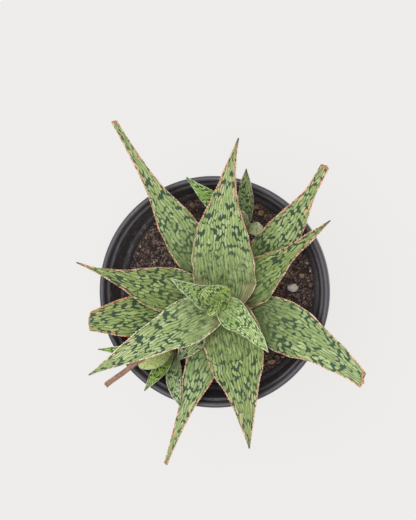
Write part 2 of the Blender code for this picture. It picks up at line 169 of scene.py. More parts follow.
# Slow swells of the skin: height, length, and lean from the midrib to a margin
SKIN_SWELLS = ((0.16, 6.1, 1.4), (0.12, 3.3, -2.2))
SWELL_START = (0.06, 0.25)
SWELL_AT_MIDRIB = 0.2
FULL_SWELL_THICKNESS = 2.5

# Each leaf's pattern starts at one of a number of places, this far apart
PATTERN_SHIFT = 61.0
PATTERN_PLACES = 97
LEAST_SPREAD = 0.5
# Marks in the map of a leaf's end, which is 0 to 1 over a scar: a plain end, and a sharp point
PLAIN_END_MARK = 9.0
POINT_MARK = 200.0


def width_at(widths, share):
    """Full widths at shares of the leaf's length, on a smooth line through its widths."""
    widths = np.asarray(widths, float)
    last = len(widths) - 1
    place = np.clip(share, 0.0, 1.0) * last
    index = np.minimum(place.astype(int), last - 1)
    part = place - index
    before = widths[np.maximum(index - 1, 0)]
    start, end = widths[index], widths[index + 1]
    after = widths[np.minimum(index + 2, last)]
    slope_in, slope_out = (end - before) / 2, (after - start) / 2
    square, cube = part ** 2, part ** 3
    return ((2 * cube - 3 * square + 1) * start + (cube - 2 * square + part) * slope_in
            + (3 * square - 2 * cube) * end + (cube - square) * slope_out)


def midrib(leaf, centre, inner, share):
    """Places on a leaf's midrib, which bows up and sideways on its way to the tip."""
    angle = math.radians(leaf.azimuth)
    along = np.array((math.cos(angle), math.sin(angle), 0.0))
    across = np.array((-along[1], along[0], 0.0))
    share = np.asarray(share, float)[:, None]
    bow = 4 * share * (1 - share)
    height = leaf.start + (leaf.tip - leaf.start) * share + leaf.arch * bow
    out = along * (inner + (leaf.reach - inner) * share)
    return np.array((*centre, 0.0)) + out + across * leaf.sweep * bow + height * np.array(UP)


def unit(vectors):
    return vectors / np.linalg.norm(vectors, axis=-1, keepdims=True)


def turned_about_z(vectors, angles):
    cos, sin = np.cos(angles), np.sin(angles)
    x, y, z = vectors[..., 0], vectors[..., 1], vectors[..., 2]
    return np.stack([x * cos - y * sin, x * sin + y * cos, z + 0 * cos], -1)


def radius_at(outline, heights):
    rows = sorted(outline)
    return np.interp(heights, [r[0] for r in rows], [r[1] for r in rows])


def step_up(value, low, high):
    share = np.clip((value - low) / (high - low), 0, 1)
    return share * share * (3 - 2 * share)


def tooth_line(rng, length, size, pitch):
    """A margin's teeth, which lean towards the tip: places along it and how far each stands out."""
    places, heights = [0.0], [0.0]
    here = 0.0
    while here < length:
        step = pitch * rng.uniform(*TOOTH_SPACING)
        heights += [0.0, size * rng.uniform(*TOOTH_HEIGHTS), 0.0]
        places += [here + step * share for share in TOOTH_SHAPE]
        here += step
    return places, heights


# Stations from foot to tip: share of the length, place, three directions, length so far, half width
Spine = namedtuple("Spine", "share mid ahead side over arc half")


def spine_of(leaf, centre, inner, pitch, phase):
    """A leaf's stations, with gently waved margins."""
    rough_length = math.dist((inner, leaf.start), (leaf.reach, leaf.tip))
    share = np.linspace(0.0, 1.0, max(FEWEST_STATIONS, int(rough_length / pitch)))
    mid = midrib(leaf, centre, inner, share)
    after = midrib(leaf, centre, inner, share + MIDRIB_STEP)
    before = midrib(leaf, centre, inner, share - MIDRIB_STEP)
    ahead = unit(after - before)
    side = unit(np.cross(UP, ahead))
    arc = np.concatenate([[0], np.cumsum(np.linalg.norm(np.diff(mid, axis=0), axis=1))])
    wave = 1.0
    for (size, length), start in zip(MARGIN_WAVES, phase):
        wave = wave + size * np.sin(arc / length + start)
    half = np.maximum(width_at(leaf.widths, share) / 2 * wave, LEAST_HALF_WIDTH)
    return Spine(share, mid, ahead, side, np.cross(ahead, side), arc, half)


def columns_of(end):
    """Places across a leaf, 1 to -1 over its top and back below, and which of them are below."""
    top, under = (HOOD_COLUMNS, HOOD_COLUMNS) if end.teeth else (TOP_COLUMNS, UNDER_COLUMNS)
    angles = np.concatenate([np.linspace(1, -1, top), np.linspace(-1, 1, under)])
    return np.sin(angles * math.pi / 2), np.concatenate([np.zeros(top), np.ones(under)])


def toothed_reach(rng, leaf, spine, u, young):
    """How far sideways each point of a leaf lies, with the teeth on both margins."""
    size = YOUNG_TOOTH_SIZE if young else TOOTH_SIZE
    pitch = YOUNG_TOOTH_PITCH if young else TOOTH_PITCH
    bare = BARE_END if leaf.widths[-1] > BROAD_END else BARE_POINT
    fade = np.clip((1 - spine.share) / bare, 0, 1) * step_up(spine.share, *TEETH_START)
    reach = spine.half[:, None] * u[None, :]
    for sign in (1, -1):
        places, heights = tooth_line(rng, spine.arc[-1], size, pitch)
        teeth = np.interp(spine.arc, places, heights) * fade
        reach[:, sign * u > MARGIN_COLUMN] += sign * teeth[:, None]
    return reach


def swell_of(leaf, spine, u, phase):
    """Slow swells of a leaf's skin, strongest at its margins and none at its foot."""
    swell = 0.0
    for (height, length, lean), start in zip(SKIN_SWELLS, phase):
        swell = swell + height * np.sin(spine.arc[:, None] / length + start + lean * u[None, :])
    at_side = np.abs(u)[None, :] * (1 - SWELL_AT_MIDRIB) + SWELL_AT_MIDRIB
    above_foot = step_up(spine.share, *SWELL_START)[:, None]
    return swell * (at_side * above_foot) * min(1.0, leaf.thick / FULL_SWELL_THICKNESS)


def depth_of(leaf, spine, u, under):
    """How far each point lies below a leaf's top side."""
    body = np.minimum(1.0, NARROW_BODY + (1 - NARROW_BODY) * 2 * spine.half / FULL_BODY_WIDTH)
    belly = np.maximum(leaf.thick * (1 - TIP_THINNING * spine.share) * body, LEAST_BELLY)
    round_off = np.sqrt(np.maximum(0, 1 - u * u))
    return (EDGE_THICKNESS + (belly[:, None] - EDGE_THICKNESS) * round_off[None, :]) * under[None, :]


def skin_of(leaf, centre, inner, spine, u, under, reach, phase):
    """Points of a leaf's skin: flat across further out, and bent around its stem at the foot."""
    arm = spine.mid - np.array((*centre, 0.0))
    arm[:, 2] = 0
    arm_length = np.linalg.norm(arm, axis=1)
    blend = (np.maximum(0.0, 1 - (arm_length - inner) / leaf.hug) ** 2)[:, None, None]
    angles = reach / arm_length[:, None]
    arms, overs = (np.repeat(v[:, None, :], len(u), 1) for v in (arm, spine.over))
    raised = leaf.cup * spine.half[:, None] * (u * u)[None, :] + swell_of(leaf, spine, u, phase)
    flat = spine.side[:, None, :] * reach[..., None] + overs * raised[..., None]
    turn = turned_about_z(arms, angles) - arms
    drop = overs * (1 - blend) + turned_about_z(overs, angles) * blend
    top = spine.mid[:, None, :] + flat * (1 - blend) + turn * blend
    return top - drop * depth_of(leaf, spine, u, under)[..., None]


def with_end(rng, surface, spine, u, end, phase):
    """The skin with its end slanted, ragged or rounded, and with teeth on a toothed end."""
    rags = 0.0
    for (size, waves), start in zip(END_RAGS, phase):
        rags = rags + size * np.sin(waves * u + start)
    shape = end.slant * u + end.ragged * rags - end.round * u ** CORNER_POWER
    length = spine.arc[-1]
    push = step_up(spine.arc, length - END_ZONE, length) ** 2
    surface = surface + spine.ahead[:, None, :] * (push[:, None] * shape[None, :])[..., None]
    if end.teeth:
        half = spine.half[-1]
        places, heights = tooth_line(rng, 2 * half, end.teeth, END_TOOTH_PITCH)
        surface[-1] += spine.ahead[-1] * np.interp((u + 1) * half, places, heights)[:, None]
    return surface


def seat_foot(foot, outline, centre):
    """Sinks the first row of a leaf's points a little into its stem."""
    arm = foot[:, :2] - np.array(centre)
    seat = radius_at(outline, foot[:, 2]) - FOOT_DEPTH
    foot[:, :2] = np.array(centre) + arm * (seat / np.linalg.norm(arm, axis=1))[:, None]


def leaf_maps(name, spine, u, reach, end):
    """Maps for the leaf's material: the pattern's place, distances from margin and end, shares."""
    shape = len(spine.arc), len(u)
    along, share, half = (np.broadcast_to(v[:, None], shape) for v in (spine.arc, spine.share, spine.half))
    aside = np.broadcast_to(u[None, :], shape)
    spread = np.sqrt(half * max(spine.half.mean(), LEAST_SPREAD))
    shift = PATTERN_SHIFT * (sum(map(ord, name)) % PATTERN_PLACES)
    margin = half * (1 - np.abs(aside)) - np.maximum(0, np.abs(reach) - half)
    tip = spine.arc[-1] - along
    if end.teeth:
        margin = np.minimum(margin, tip)
    if end.scar:
        tip = tip / end.scar
    else:
        tip = tip + PLAIN_END_MARK if end.teeth else POINT_MARK - tip
    maps = {"flecks": (along + shift, spread * aside), "edge": (margin, tip), "span": (share, aside)}
    return {title: np.stack(pair, -1) for title, pair in maps.items()}


def tube_faces(stations, ring):
    """Faces of a closed tube: quads between its rings and a cap on each end."""
    first = np.arange(0, (stations - 1) * ring, ring)[:, None]
    index = np.arange(ring)
    after = (index + 1) % ring
    corners = [first + index, first + after, first + after + ring, first + index + ring]
    faces = np.stack(corners, -1).reshape(-1, 4).tolist()
    last = (stations - 1) * ring
    return faces + [list(range(ring - 1, -1, -1)), list(range(last, last + ring))]


def outward(mesh):
    """Turns all faces outwards."""
    solid = bmesh.new()
    solid.from_mesh(mesh)
    bmesh.ops.recalc_face_normals(solid, faces=solid.faces)
    solid.to_mesh(mesh)
    solid.free()


def smooth(mesh, crease):
    mesh.shade_smooth()
    mesh.set_sharp_from_angle(angle=math.radians(crease))


def leaf_mesh(name, leaf, outline, centre, young):
    """A leaf with toothed margins, a channelled top, a rounded underside and its own end."""
    skin = name + "_skin"
    rng = random.Random(skin)
    phase = [rng.uniform(0, TURN) for _ in range(6)]
    end = ENDS.get(name, End())
    inner = float(radius_at(outline, leaf.start))
    spine = spine_of(leaf, centre, inner, YOUNG_STATION_PITCH if young else STATION_PITCH, phase[:2])
    u, under = columns_of(end)
    reach = toothed_reach(rng, leaf, spine, u, young)
    surface = skin_of(leaf, centre, inner, spine, u, under, reach, phase[2:4])
    surface = with_end(rng, surface, spine, u, end, phase[4:])
    seat_foot(surface[0], outline, centre)

    mesh = bpy.data.meshes.new(skin)
    mesh.from_pydata((surface.reshape(-1, 3) * MM).tolist(), [], tube_faces(*surface.shape[:2]))
    corner = np.zeros(len(mesh.loops), int)
    mesh.loops.foreach_get("vertex_index", corner)
    for title, values in leaf_maps(skin, spine, u, reach, end).items():
        layer = mesh.uv_layers.new(name=title)
        layer.data.foreach_set("uv", values.reshape(-1, 2)[corner].astype(np.float32).ravel())
    outward(mesh)
    smooth(mesh, CREASE)
    return mesh


# Materials
class Graph:
    """Builds one material's nodes."""

    def __init__(self, name):
        self.material = bpy.data.materials.new(name)
        self.material.use_nodes = True
        self.nodes = self.material.node_tree.nodes
        self.links = self.material.node_tree.links
        self.shader = self.nodes["Principled BSDF"]

    def feed(self, socket, value):
        if isinstance(value, bpy.types.NodeSocket):
            self.links.new(value, socket)
        elif isinstance(value, tuple) and len(value) == 3 and len(socket.default_value) == 4:
            socket.default_value = (*value, 1.0)
        else:
            socket.default_value = value

    def node(self, kind, inputs, **settings):
        item = self.nodes.new("ShaderNode" + kind)
        for key, value in settings.items():
            setattr(item, key, value)
        for key, value in inputs.items():
            self.feed(item.inputs[key], value)
        return item

    def math(self, operation, a, b=0.0):
        return self.node("Math", {0: a, 1: b}, operation=operation).outputs[0]

    def plus(self, a, b):
        return self.math("ADD", a, b)

    def minus(self, a, b):
        return self.math("SUBTRACT", a, b)

    def times(self, a, b):
        return self.math("MULTIPLY", a, b)

    def from_middle(self, value):
        """0 in the middle of 0..1, and 1 at both ends."""
        return self.times(self.math("ABSOLUTE", self.minus(value, 0.5)), 2.0)

    def range(self, value, low, high, start=0.0, end=1.0):
        """value from low..high to start..end, with soft ends."""
        inputs = {0: value, 1: low, 2: high, 3: start, 4: end}
        return self.node("MapRange", inputs, interpolation_type="SMOOTHSTEP").outputs[0]

    def mix(self, factor, a, b):
        return self.node("Mix", {0: factor, 6: a, 7: b}, data_type="RGBA").outputs[2]

    def parts(self, vector):
        return tuple(self.node("SeparateXYZ", {0: vector}).outputs)

    def join(self, x, y, z=0.0):
        return self.node("CombineXYZ", {0: x, 1: y, 2: z}).outputs[0]

    def uv(self, name):
        return self.parts(self.node("UVMap", {}, uv_map=name).outputs[0])[:2]

    def place(self):
        """Position in millimetres."""
        where = self.node("TexCoord", {}).outputs["Object"]
        return self.node("VectorMath", {0: where, 3: 1000.0}, operation="SCALE").outputs[0]

    def noise(self, vector, scale, detail, rough, form="3D"):
        inputs = {"Vector": vector, "Scale": scale, "Detail": detail, "Roughness": rough}
        return self.node("TexNoise", inputs, noise_dimensions=form).outputs[0]

    def noise_on(self, first, scale, second, second_scale, detail=2.0, rough=0.5):
        """Flat noise over two values, each by its own scale."""
        where = self.join(self.times(first, scale), self.times(second, second_scale))
        return self.noise(where, 1.0, detail, rough, "2D")

    def chance(self, value):
        return self.node("TexWhiteNoise", {"W": value}, noise_dimensions="1D").outputs[0]

    def chance_at(self, x, y):
        return self.node("TexWhiteNoise", {"Vector": self.join(x, y)}, noise_dimensions="2D").outputs[0]

    def cells(self, vector, scale):
        """Distance from the middle of the nearest cell, and that cell's own three chances."""
        item = self.node("TexVoronoi", {"Vector": vector, "Scale": scale})
        return item.outputs[0], self.parts(item.outputs[1])

    def finish(self, colour, roughness, height=None, depth=0.1, strength=1.0):
        """Wires colour, roughness and a relief of depth millimetres."""
        self.feed(self.shader.inputs["Base Color"], colour)
        self.feed(self.shader.inputs["Roughness"], roughness)
        if height is not None:
            inputs = {"Height": height, "Distance": depth * MM, "Strength": strength}
            self.links.new(self.node("Bump", inputs).outputs[0], self.shader.inputs["Normal"])
        return self.material


# Colours of strokes, ground and margin, the strokes' width and length in mm, how flushed the
# outer part is, the share of the length where the foot's fine lines and painted shade end, how dark the
# point is
Palette = namedtuple("Palette", "light bright mid dark margin margin_dark worn blush vein"
                                " width length flush rooted point")
TALL = Palette(
    light=(0.44, 0.555, 0.215), bright=(0.65, 0.75, 0.39), mid=(0.215, 0.3, 0.1),
    dark=(0.036, 0.076, 0.046), margin=(0.88, 0.44, 0.27), margin_dark=(0.48, 0.24, 0.14),
    worn=(0.84, 0.66, 0.45), blush=(0.7, 0.44, 0.26), vein=(0.51, 0.61, 0.29),
    width=1.15, length=6.2, flush=1.0, rooted=0.38, point=0.8)
# Its foot lines are dark and reach further up: painted shade at the feet of the outer leaves
OUTER = TALL._replace(
    light=(0.385, 0.5, 0.19), bright=(0.58, 0.69, 0.34), mid=(0.175, 0.25, 0.085),
    vein=(0.23, 0.3, 0.125), width=1.45, length=5.2, rooted=0.52)
# Darker copy of the leaf colours for the lower leaves: painted shade from the leaves above them
SHADED = TALL._replace(
    light=(0.31, 0.405, 0.13), bright=(0.51, 0.61, 0.25), mid=(0.135, 0.195, 0.06),
    dark=(0.034, 0.068, 0.038), vein=(0.37, 0.45, 0.19), width=1.3, length=5.6, flush=0.5, rooted=0.42)
HEART = TALL._replace(
    light=(0.54, 0.7, 0.255), bright=(0.86, 0.94, 0.56), mid=(0.23, 0.37, 0.105),
    dark=(0.055, 0.13, 0.05), margin=(0.9, 0.92, 0.68), margin_dark=(0.6, 0.66, 0.37),
    worn=(0.86, 0.88, 0.64), blush=(0.68, 0.78, 0.45), width=0.95, length=4.2,
    flush=0.4, rooted=0.3, point=0.0)
FRESH = HEART._replace(
    light=(0.42, 0.64, 0.15), bright=(0.78, 0.92, 0.41), mid=(0.14, 0.31, 0.045),
    dark=(0.036, 0.11, 0.022), width=0.8, length=3.6, point=0.5)
PALETTES = {
    "tall": TALL,
    "outer": OUTER,
    "clean": OUTER._replace(light=(0.345, 0.445, 0.175), flush=0.0),
    "shaded": SHADED,
    "orange_margin": SHADED._replace(
        light=(0.345, 0.45, 0.145), bright=(0.5, 0.61, 0.24), width=1.4,
        margin=(0.95, 0.34, 0.16), margin_dark=(0.62, 0.22, 0.1), worn=(0.92, 0.5, 0.28), flush=0.3),
    "cream_margin": TALL._replace(
        light=(0.46, 0.585, 0.235), bright=(0.72, 0.82, 0.46), margin=(0.9, 0.8, 0.54),
        margin_dark=(0.66, 0.52, 0.3), worn=(0.92, 0.87, 0.62), flush=0.5),
    "heart": HEART,
    "hood": HEART._replace(
        light=(0.5, 0.63, 0.165), bright=(0.8, 0.9, 0.47), mid=(0.26, 0.36, 0.075),
        margin=(0.52, 0.62, 0.25), margin_dark=(0.3, 0.42, 0.12), worn=(0.56, 0.66, 0.3)),
    "fresh": FRESH,
    "vivid": FRESH._replace(
        light=(0.46, 0.66, 0.11), bright=(0.74, 0.88, 0.31), mid=(0.15, 0.32, 0.03)),
    # Lighter than the young leaf's own yellow: painted light on offset_a_leaf_4, which lies in the shadow
    # of leaf_11
    "lemon_painted_lit": FRESH._replace(
        light=(0.9, 0.96, 0.42), bright=(0.97, 0.98, 0.66), mid=(0.74, 0.86, 0.28),
        dark=(0.42, 0.57, 0.14), margin=(0.97, 0.97, 0.88), vein=(0.9, 0.96, 0.42),
        width=0.6, length=2.0),
    "frosted": SHADED._replace(
        light=(0.52, 0.65, 0.31), bright=(0.8, 0.89, 0.56), mid=(0.19, 0.29, 0.11),
        dark=(0.05, 0.1, 0.055), margin=(0.9, 0.88, 0.7), margin_dark=(0.56, 0.52, 0.32),
        worn=(0.88, 0.86, 0.68), width=0.8, length=4.6, flush=0.0),
    "grey": SHADED._replace(
        light=(0.44, 0.56, 0.23), bright=(0.7, 0.79, 0.41), mid=(0.16, 0.24, 0.095),
        width=0.7, length=5.0, margin=(0.7, 0.6, 0.42), margin_dark=(0.38, 0.34, 0.2)),
    # A pale young leaf, lightened further as painted light where leaf_02 and leaf_10 shade it
    "pale": HEART._replace(
        light=(0.93, 0.96, 0.6), bright=(0.97, 0.975, 0.8), mid=(0.74, 0.83, 0.42),
        dark=(0.3, 0.42, 0.16), margin=(0.96, 0.96, 0.9), vein=(0.8, 0.86, 0.58),
        width=0.7, length=2.6),
}
# Area of a stroke, in square millimetres, for which the scales below are right as they are
PLAIN_STROKE = 7.4
# Brown membrane at the foot of a leaf, and the share of its length where it lies
DRY_SKIN = (0.30, 0.185, 0.115)
SKIN_ZONE = (0.03, 0.13)
ROOT_START = 0.08
# Dried crust of a cut or torn end, over its scar
CRUST = (0.66, 0.36, 0.17)
CRUST_DARK = (0.26, 0.12, 0.06)
SCAR_EDGE = (0.7, 1.5)
# How far from its tip a dark point begins and is complete
POINT_START = 6.0
POINT_FULL = 0.5
LEAF_SHEEN = 0.35
LEAF_ROUGHNESS = (0.42, 0.54)
LEAF_RELIEF = 0.10


# Each stroke's own chance, wide patches, the dark ground, lines between strokes, a wobble
Strokes = namedtuple("Strokes", "tint patch dark line wobble")


def strokes_of(g, palette, size, along, across):
    """Strokes in files along the leaf, which narrow to their ends, where the dark ground shows."""
    sway = g.noise_on(along, 0.09 / size, across, 0.16 / size)
    wobble = g.noise_on(along, 0.55 / size, across, 0.9)
    place = g.plus(g.math("DIVIDE", across, palette.width), g.times(sway, 2.4))
    place = g.plus(place, g.times(wobble, 0.8))
    column = g.math("FLOOR", place)
    # the strokes of neighbouring files stand in wavy rows
    wave = g.noise_on(along, 0.07 / size, across, 0.30 / size, rough=0.6)
    run = g.plus(g.math("DIVIDE", along, palette.length), g.times(wave, 2.2))
    run = g.plus(run, g.times(g.chance(column), 0.5))
    tint = g.chance_at(column, g.math("FLOOR", run))
    beside = g.from_middle(g.math("FRACT", place))
    ends = g.math("POWER", g.from_middle(g.math("FRACT", run)), 2.2)
    patch = g.noise_on(along, 0.13 / size, across, 0.26 / size, rough=0.6)
    want = g.plus(g.range(patch, 0.38, 0.72, 0.1, 4.4), g.times(g.minus(tint, 0.5), 2.2))
    room = g.minus(1.0, g.times(want, ends))
    dark = g.range(g.minus(beside, room), -0.02, 0.30)
    line = g.range(g.plus(beside, g.times(ends, 0.4)), 0.55, 0.95)
    return Strokes(tint, patch, dark, line, wobble)


def stroke_colour(g, palette, strokes, streak, share, aside):
    """Colour of the strokes, flushed at the sides of the leaf's outer part, and of the ground."""
    pale = g.mix(g.range(strokes.tint, 0.15, 1.0), palette.light, palette.bright)
    pale = g.mix(g.range(streak, 0.30, 0.72, 0.55, 0.0), pale, palette.mid)
    blush = g.times(g.range(share, 0.45, 0.8), g.range(aside, 0.15, 0.65))
    blush = g.times(blush, g.range(strokes.tint, 0.50, 0.66, 0.0, palette.flush))
    pale = g.mix(blush, pale, palette.blush)
    ground = g.mix(g.range(strokes.patch, 0.40, 0.62, 0.0, 0.7), palette.mid, palette.dark)
    colour = g.mix(g.times(strokes.line, 0.9), pale, ground)
    return g.mix(g.times(strokes.dark, 0.95), colour, palette.dark)


def with_foot(g, palette, colour, along, across, share, aside):
    """Long fine lines on the leaf's foot, darkened for the outer and lower leaves as painted shade, and
    brown membrane at its sides there.
    """
    lines = g.noise_on(along, 0.10, across, 1.5, 3.0, 0.7)
    foot_lines_and_shade = g.mix(g.range(lines, 0.45, 0.55), g.mix(0.5, palette.mid, palette.dark), palette.vein)
    # The foot is drawn towards its line colour, which on the outer and lower leaves is painted shade
    colour = g.mix(g.range(share, ROOT_START, palette.rooted, 0.66, 0.0), colour, foot_lines_and_shade)
    skin = g.times(g.range(share, *SKIN_ZONE, 0.8, 0.0), g.range(aside, 0.45, 0.85))
    return g.mix(g.times(skin, g.range(lines, 0.42, 0.52)), colour, DRY_SKIN)


def with_margin(g, palette, colour, size, along, across, margin, share, bits):
    """A broken, uneven line along the margin, which a dark one follows, worn pale near the foot."""
    rim = g.noise_on(along, 0.45, across, 0.5, 3.0, 0.6)
    worn = g.noise_on(along, 0.16, across, 0.3, rough=0.6)
    inner = g.minus(margin, g.range(rim, 0.36, 0.66, 0.04, 0.68 * size))
    colour = g.mix(g.range(inner, 0.0, 0.50, 0.75, 0.0), colour, palette.dark)
    edge = g.mix(g.range(bits, 0.46, 0.62), palette.margin, palette.margin_dark)
    edge = g.mix(g.range(rim, 0.40, 0.60, 0.45, 0.0), edge, palette.margin_dark)
    edge = g.mix(g.range(worn, 0.44, 0.62, 0.0, 0.7), edge, palette.worn)
    edge = g.mix(g.range(share, 0.16, 0.42, 0.75, 0.0), edge, palette.worn)
    return g.mix(g.range(inner, -0.05, 0.08, 1.0, 0.0), colour, edge)


def with_tip(g, palette, colour, tip, strokes, bits):
    """The crust of a cut end, or a dark point."""
    scar = g.range(g.plus(tip, g.times(strokes.wobble, 0.8)), *SCAR_EDGE, 1.0, 0.0)
    colour = g.mix(scar, colour, g.mix(g.range(bits, 0.40, 0.62), CRUST, CRUST_DARK))
    point = g.range(tip, POINT_MARK - POINT_START, POINT_MARK - POINT_FULL, 0.0, palette.point)
    return g.mix(point, colour, palette.dark)


def leaf_material(name, palette):
    """Pale strokes in files along the leaf, dark jagged patches between them, a thin coloured margin."""
    g = Graph(name)
    along, across = g.uv("flecks")
    margin, tip = g.uv("edge")
    share, aside = g.uv("span")
    aside = g.math("ABSOLUTE", aside)
    size = (palette.width * palette.length / PLAIN_STROKE) ** 0.5
    streak = g.noise_on(along, 0.30, across, 3.6, 3.0, 0.6)
    bits = g.noise_on(along, 1.5, across, 1.0, rough=0.6)
    strokes = strokes_of(g, palette, size, along, across)
    colour = stroke_colour(g, palette, strokes, streak, share, aside)
    colour = with_foot(g, palette, colour, along, across, share, aside)
    colour = with_margin(g, palette, colour, size, along, across, margin, share, bits)
    colour = with_tip(g, palette, colour, tip, strokes, bits)
    height = g.minus(g.times(streak, 0.4), g.times(strokes.line, 0.8))
    g.shader.inputs["Specular IOR Level"].default_value = LEAF_SHEEN
    return g.finish(colour, g.range(streak, 0.3, 0.7, *LEAF_ROUGHNESS), height, LEAF_RELIEF, 0.6)


def add_piece(name, data):
    """An object in the scene: a mesh, the camera or the lamp."""
    piece = bpy.data.objects.new(name, data)
    bpy.context.scene.collection.objects.link(piece)
    return piece


def make_leaves():
    materials = {key: leaf_material(key + "_leaf_look", palette) for key, palette in PALETTES.items()}
    plants = (
        (ROSETTE, MAIN_STEM, CROWN), (OFFSET_A_LEAVES, OFFSET_STEM, OFFSET_A),
        (OFFSET_B_LEAVES, OFFSET_STEM, OFFSET_B),
    )
    for leaves, outline, centre in plants:
        for name, leaf in leaves.items():
            young = leaves is not ROSETTE or name in HEART_LEAVES
            mesh = leaf_mesh(name, leaf, outline, centre, young)
            mesh.materials.append(materials[LOOKS[name]])
            piece = add_piece(name + "_skin", mesh)
            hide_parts(name)
            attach(piece, "root")


# Turned bodies
def level(height):
    """A flat height for ring_of."""
    return lambda x, y: height


def ring_of(solid, radius, height_at, segments):
    """A ring of vertices about the axis, each as high as height_at says for its x and y."""
    if radius == 0.0:
        return [solid.verts.new(Vector((0, 0, height_at(0, 0))) * MM)] * segments
    row = []
    for index in range(segments):
        angle = 2 * math.pi * index / segments
        x, y = radius * math.cos(angle), radius * math.sin(angle)
        row.append(solid.verts.new(Vector((x, y, height_at(x, y))) * MM))
    return row


def bridge(solid, rings):
    """Faces between each ring and the next."""
    for low, high in zip(rings, rings[1:]):
        for i in range(len(low)):
            j = (i + 1) % len(low)
            corners = list(dict.fromkeys([low[i], low[j], high[j], high[i]]))
            if len(corners) > 2:
                solid.faces.new(corners)


def mesh_of(solid, name):
    mesh = bpy.data.meshes.new(name)
    solid.to_mesh(mesh)
    solid.free()
    return mesh


# Pot: its outline as (radius, height), from the middle of the floor inside to that underneath
POT_LINE = (
    (0, 2.4), (36.8, 2.4), (37.4, 2.6), (37.8, 3.4), (47.2, 71), (47.7, 71.7), (49.2, 72.2),
    (51.4, 86.4), (51.45, 87), (51.7, 87.25), (52.3, 87.3), (52.45, 87.7), (52.7, 87.75),
    (52.8, 88.2), (53.2, 90.9), (53.45, 91.6), (54, 92), (55, 92), (55.6, 91.6), (55.8, 90.9),
    (55.6, 86), (55.4, 81), (55.2, 80.2), (54.7, 80), (52.3, 80), (51.9, 79.6), (50.7, 72.4),
    (50.3, 71.9), (48.9, 71.3), (48.5, 70.4), (44.2, 38), (39.3, 1.4), (38.9, 0.5), (38, 0),
    (33.4, 0), (32.8, 1.2), (13.4, 1.2), (12.9, 0), (0, 0),
)
POT_SEGMENTS = 160
POT_CREASE = 50.0
DRAIN_COUNT = 8
DRAIN_RADIUS = 4.0
DRAIN_CIRCLE = 24.0
DRAIN_SIDES = 40
DRAIN_DEPTH = 10.0

# Halfway through the wall: its radius below and above the step, how far it leans out above, and
# how softly inside and outside meet there
STEP_HEIGHTS = (70.9, 71.9)
STEP_RADII = (47.8, 49.9)
UPPER_WALL = (72.0, 84.0)
UPPER_LEAN = 1.9
WALL_BLUR = 0.25
# Heights where the inside's dirt begins in the mix, and over which its dust fades out
DIRT_START = (66.0, 67.0)
DUST_FADE = (78.0, 68.0)
PLASTIC = (0.060, 0.053, 0.066)
PLASTIC_WORN = (0.090, 0.080, 0.096)
SCUFF = (0.14, 0.13, 0.14)
WALL_DUST = (0.150, 0.132, 0.125)
WATER_STAIN = (0.30, 0.29, 0.29)


def revolve(profile, segments):
    """A closed body from a profile of (radius, height) that starts and ends on the axis."""
    solid = bmesh.new()
    bridge(solid, [ring_of(solid, radius, level(height), segments) for radius, height in profile])
    bmesh.ops.recalc_face_normals(solid, faces=solid.faces)
    return mesh_of(solid, "turned")


def cut_drains(pot):
    """Cuts the drainage holes through the pot's floor."""
    cut = bmesh.new()
    for index in range(DRAIN_COUNT):
        angle = 2 * math.pi * (index + 0.5) / DRAIN_COUNT
        place = Matrix.Translation(Vector((math.cos(angle), math.sin(angle), 0.0)) * DRAIN_CIRCLE * MM)
        bmesh.ops.create_cone(cut, cap_ends=True, segments=DRAIN_SIDES, radius1=DRAIN_RADIUS * MM,
                              radius2=DRAIN_RADIUS * MM, depth=DRAIN_DEPTH * MM, matrix=place)
    plug = add_piece("drains", mesh_of(cut, "drains"))
    change = pot.modifiers.new("drains", "BOOLEAN")
    change.operation = "DIFFERENCE"
    change.solver = "EXACT"
    change.object = plug
    bpy.context.view_layer.update()
    graph = bpy.context.evaluated_depsgraph_get()
    cut_mesh = bpy.data.meshes.new_from_object(pot.evaluated_get(graph))
    pot.modifiers.clear()
    pot.data = cut_mesh
    bpy.data.objects.remove(plug)


def pot_material():
    """Black moulded plastic: faint turning rings, fine scuffs, and dust and stains on the inside."""
    g = Graph("pot_plastic_look")
    place = g.place()
    x, y, z = g.parts(place)
    radius = g.math("SQRT", g.plus(g.times(x, x), g.times(y, y)))
    rings = g.noise(g.join(g.plus(radius, g.times(z, 0.7)), 0.0), 1.4, 3.0, 0.6)
    grain = g.noise(place, 1.6, 4.0, 0.6)
    scuff = g.noise(g.join(g.times(x, 0.35), g.times(y, 0.35), g.times(z, 1.2)), 0.5, 4.0, 0.7)
    colour = g.mix(g.range(rings, 0.35, 0.7), PLASTIC, PLASTIC_WORN)
    colour = g.mix(g.range(scuff, 0.56, 0.72, 0.0, 0.5), colour, SCUFF)
    middle = g.plus(g.range(z, *STEP_HEIGHTS, *STEP_RADII), g.range(z, *UPPER_WALL, 0.0, UPPER_LEAN))
    inside = g.times(g.range(g.minus(radius, middle), WALL_BLUR, -WALL_BLUR), g.range(z, *DIRT_START))
    dust = g.times(g.times(inside, g.range(z, *DUST_FADE)), g.range(grain, 0.42, 0.66, 0.0, 0.7))
    colour = g.mix(dust, colour, WALL_DUST)
    stain = g.times(inside, g.range(g.noise(place, 0.28, 4.0, 0.7), 0.50, 0.64, 0.0, 0.55))
    colour = g.mix(g.times(stain, g.range(x, 10.0, -40.0)), colour, WATER_STAIN)
    height = g.plus(g.times(rings, 0.7), g.times(grain, 0.5))
    return g.finish(colour, g.range(grain, 0.3, 0.7, 0.34, 0.50), height, 0.05, 0.5)


def make_pot():
    pot = add_piece("pot_body", revolve(POT_LINE, POT_SEGMENTS))
    cut_drains(pot)
    pot.data.materials.clear()
    pot.data.materials.append(pot_material())
    smooth(pot.data, POT_CREASE)
    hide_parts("pot")
    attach(pot, "root")


